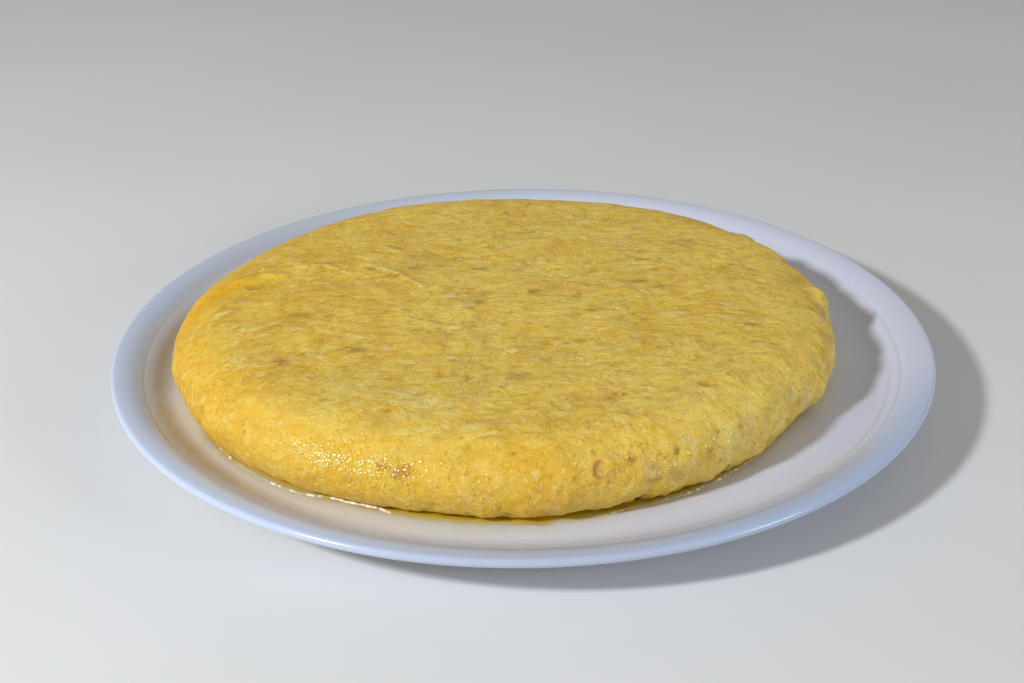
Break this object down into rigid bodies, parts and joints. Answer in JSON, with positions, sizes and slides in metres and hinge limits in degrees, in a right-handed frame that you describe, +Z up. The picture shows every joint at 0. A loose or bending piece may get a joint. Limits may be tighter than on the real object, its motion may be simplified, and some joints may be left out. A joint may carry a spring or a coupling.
{
  "type": "spanish omelette on a plate",
  "caption": "Thick round omelette of egg and potato, served whole on a white flat rimmed plate, with a thin crescent of oil along the front of its foot.",
  "frame": {"origin": "middle of the plate's foot ring, on the table", "axes": "+Z up, +Y away from the diner, +X to the diner's right"},
  "size_m": [0.33, 0.33, 0.0418],
  "materials": {
    "glazed_white": "gloss",
    "cooked_egg": "satin",
    "olive_oil": "gloss"
  },
  "bodies": {
    "root": {"plate": "glazed_white", "omelette": "cooked_egg", "oil": "olive_oil"}
  },
  "joints": []
}
